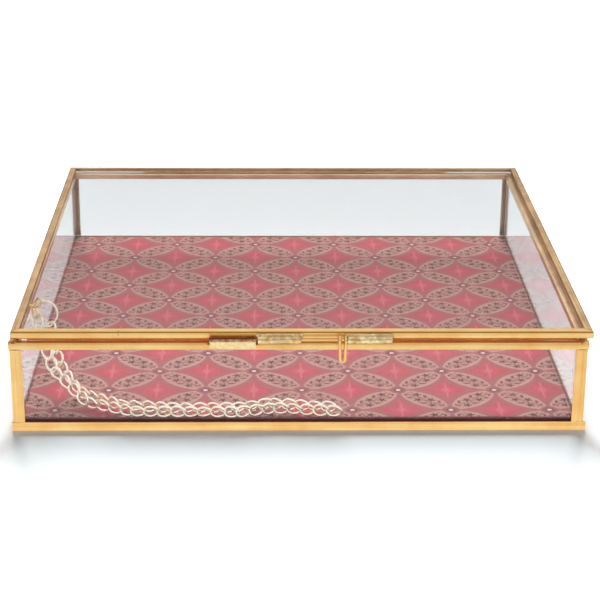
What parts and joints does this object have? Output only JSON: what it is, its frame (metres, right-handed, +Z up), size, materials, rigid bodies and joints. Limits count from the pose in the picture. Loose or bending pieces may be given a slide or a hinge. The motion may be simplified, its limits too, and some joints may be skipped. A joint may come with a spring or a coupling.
{
  "type": "hinged glass display box",
  "caption": "Square shallow display case of clear glass in brass channel, with a hinged glass lid, a sliding bolt closure, a lid chain and a printed liner.",
  "frame": {"origin": "centre of the bounding box, on the surface that the box stands on", "axes": "+X to the right of someone facing the closure, +Y from the closure to the hinge, +Z up"},
  "size_m": [0.3012, 0.3064, 0.0552],
  "materials": {
    "brass": "polished, lightly brushed",
    "aged_brass": "dull, uneven, greenish",
    "pale_gold": "bright plated",
    "glass": "clear, polished",
    "board": "plain grey board",
    "printed_cloth": "matte cotton print, pasted flat"
  },
  "bodies": {
    "base": {"front_bottom_rail": "brass", "front_top_rail": "brass", "front_pane": "glass", "back_bottom_rail": "brass", "back_top_rail": "brass", "back_pane": "glass", "left_bottom_rail": "brass", "left_top_rail": "brass", "left_pane": "glass", "right_bottom_rail": "brass", "right_top_rail": "brass", "right_pane": "glass", "front_left_post": "brass", "front_right_post": "brass", "back_left_post": "brass", "back_right_post": "brass", "bottom_pane": "glass", "liner_board": "board", "printed_cover": "printed_cloth", "base_knuckle_1": "aged_brass", "base_knuckle_2": "aged_brass", "base_knuckle_3": "aged_brass", "hinge_rod": "aged_brass", "keeper": "aged_brass", "base_chain_eye": "brass"},
    "lid": {"lid_front_rail": "brass", "lid_back_rail": "brass", "lid_left_rail": "brass", "lid_right_rail": "brass", "lid_pane": "glass", "lid_knuckle_1": "aged_brass", "lid_knuckle_2": "aged_brass", "inner_guide_tube": "aged_brass", "outer_guide_tube": "aged_brass", "lid_chain_eye": "brass"},
    "bolt": {"clasp_bolt": "aged_brass"},
    "pull": {"clasp_pull": "brass"},
    "base_ring": {"base_chain_ring": "pale_gold"},
    "base_run_1": {"base_chain_run_1": "pale_gold"},
    "base_run_2": {"base_chain_run_2": "pale_gold"},
    "base_run_3": {"base_chain_run_3": "pale_gold"},
    "base_run_4": {"base_chain_run_4": "pale_gold"},
    "base_run_5": {"base_chain_run_5": "pale_gold"},
    "base_run_6": {"base_chain_run_6": "pale_gold"},
    "base_run_7": {"base_chain_run_7": "pale_gold"},
    "lid_ring": {"lid_chain_ring": "pale_gold"},
    "lid_run_1": {"lid_chain_run_1": "pale_gold"},
    "lid_run_2": {"lid_chain_run_2": "pale_gold"},
    "lid_run_3": {"lid_chain_run_3": "pale_gold"},
    "lid_run_4": {"lid_chain_run_4": "pale_gold"},
    "lid_run_5": {"lid_chain_run_5": "pale_gold"},
    "lid_run_6": {"lid_chain_run_6": "pale_gold"}
  },
  "joints": [
    {"name": "lid_hinge", "type": "hinge", "parent": "base", "child": "lid", "pos_m": [0.00172, 0.1516, 0.0502], "axis": [-1, 0, 0], "range_deg": [0, 104.31]},
    {"name": "bolt_slide", "type": "slide", "parent": "lid", "child": "bolt", "axis": [-1, 0, 0], "range_m": [0, 0.018]},
    {"name": "pull_swing", "type": "hinge", "parent": "bolt", "child": "pull", "pos_m": [0.02092, -0.1506, 0.0518], "axis": [-1, 0, 0], "range_deg": [0, 170]},
    {"name": "base_chain_pivot_1", "type": "hinge", "parent": "base", "child": "base_ring", "pos_m": [-0.14192, -0.09092, 0.0473], "axis": [-0.6328, -0.6921, 0.3472], "range_deg": [0, 172.01]},
    {"name": "base_chain_pivot_2", "type": "hinge", "parent": "base_ring", "child": "base_run_1", "pos_m": [-0.13541, -0.09608, 0.03698], "axis": [-0.0223, -0.8998, 0.4358], "range_deg": [0, 13.48]},
    {"name": "base_chain_pivot_3", "type": "hinge", "parent": "base_run_1", "child": "base_run_2", "pos_m": [-0.12982, -0.10468, 0.01951], "axis": [0.6737, 0.7253, -0.1417], "range_deg": [0, 28.34]},
    {"name": "base_chain_pivot_4", "type": "hinge", "parent": "base_run_2", "child": "base_run_3", "pos_m": [-0.11831, -0.11746, 0.0088], "axis": [0.5754, 0.7636, -0.293], "range_deg": [0, 33.58]},
    {"name": "base_chain_pivot_5", "type": "hinge", "parent": "base_run_3", "child": "base_run_4", "pos_m": [-0.09654, -0.13387, 0.0088], "axis": [0, 0, -1], "range_deg": [0, 27.02]},
    {"name": "base_chain_pivot_6", "type": "hinge", "parent": "base_run_4", "child": "base_run_5", "pos_m": [-0.0697, -0.1386, 0.0088], "axis": [0, 0, -1], "range_deg": [0, 10.01]},
    {"name": "base_chain_pivot_7", "type": "hinge", "parent": "base_run_5", "child": "base_run_6", "pos_m": [-0.03544, -0.1386, 0.0088], "axis": [0, 0, -1], "range_deg": [0, 16.02]},
    {"name": "base_chain_pivot_8", "type": "hinge", "parent": "base_run_6", "child": "base_run_7", "pos_m": [-0.01596, -0.13302, 0.0088], "axis": [0, 0, 1], "range_deg": [0, 24.01]},
    {"name": "lid_chain_pivot_1", "type": "hinge", "parent": "lid", "child": "lid_ring", "pos_m": [-0.14192, -0.1029, 0.0473], "axis": [0.8503, -0.061, 0.5227], "range_deg": [0, 76.68]},
    {"name": "lid_chain_pivot_2", "type": "hinge", "parent": "lid_ring", "child": "lid_run_1", "pos_m": [-0.14135, -0.10406, 0.04346], "axis": [0.5865, 0.7958, -0.1508], "range_deg": [0, 15.47]},
    {"name": "lid_chain_pivot_3", "type": "hinge", "parent": "lid_run_1", "child": "lid_run_2", "pos_m": [-0.13182, -0.11542, 0.02058], "axis": [0.574, 0.8031, -0.1596], "range_deg": [0, 32.26]},
    {"name": "lid_chain_pivot_4", "type": "hinge", "parent": "lid_run_2", "child": "lid_run_3", "pos_m": [-0.11299, -0.13121, 0.0088], "axis": [0.3719, 0.7975, -0.4751], "range_deg": [0, 29.44]},
    {"name": "lid_chain_pivot_5", "type": "hinge", "parent": "lid_run_3", "child": "lid_run_4", "pos_m": [-0.08828, -0.14274, 0.0088], "axis": [0, 0, -1], "range_deg": [0, 24.01]},
    {"name": "lid_chain_pivot_6", "type": "hinge", "parent": "lid_run_4", "child": "lid_run_5", "pos_m": [-0.03303, -0.1437, 0.0088], "axis": [0, 0, -1], "range_deg": [0, 15.01]},
    {"name": "lid_chain_pivot_7", "type": "hinge", "parent": "lid_run_5", "child": "lid_run_6", "pos_m": [-0.01337, -0.1388, 0.0088], "axis": [0, 0, 1], "range_deg": [0, 21.02]}
  ],
  "couplings": [
    {"joint": "base_chain_pivot_1", "follows": "lid_hinge", "ratio": 1.6488},
    {"joint": "base_chain_pivot_2", "follows": "lid_hinge", "ratio": 0.12906},
    {"joint": "base_chain_pivot_3", "follows": "lid_hinge", "ratio": 0.27155},
    {"joint": "base_chain_pivot_4", "follows": "lid_hinge", "ratio": 0.32175},
    {"joint": "base_chain_pivot_5", "follows": "lid_hinge", "ratio": 0.25884},
    {"joint": "base_chain_pivot_6", "follows": "lid_hinge", "ratio": 0.095868},
    {"joint": "base_chain_pivot_7", "follows": "lid_hinge", "ratio": 0.15339},
    {"joint": "base_chain_pivot_8", "follows": "lid_hinge", "ratio": 0.23008},
    {"joint": "lid_chain_pivot_1", "follows": "lid_hinge", "ratio": 0.73501},
    {"joint": "lid_chain_pivot_2", "follows": "lid_hinge", "ratio": 0.14819},
    {"joint": "lid_chain_pivot_3", "follows": "lid_hinge", "ratio": 0.30916},
    {"joint": "lid_chain_pivot_4", "follows": "lid_hinge", "ratio": 0.28209},
    {"joint": "lid_chain_pivot_5", "follows": "lid_hinge", "ratio": 0.23008},
    {"joint": "lid_chain_pivot_6", "follows": "lid_hinge", "ratio": 0.1438},
    {"joint": "lid_chain_pivot_7", "follows": "lid_hinge", "ratio": 0.20132}
  ]
}
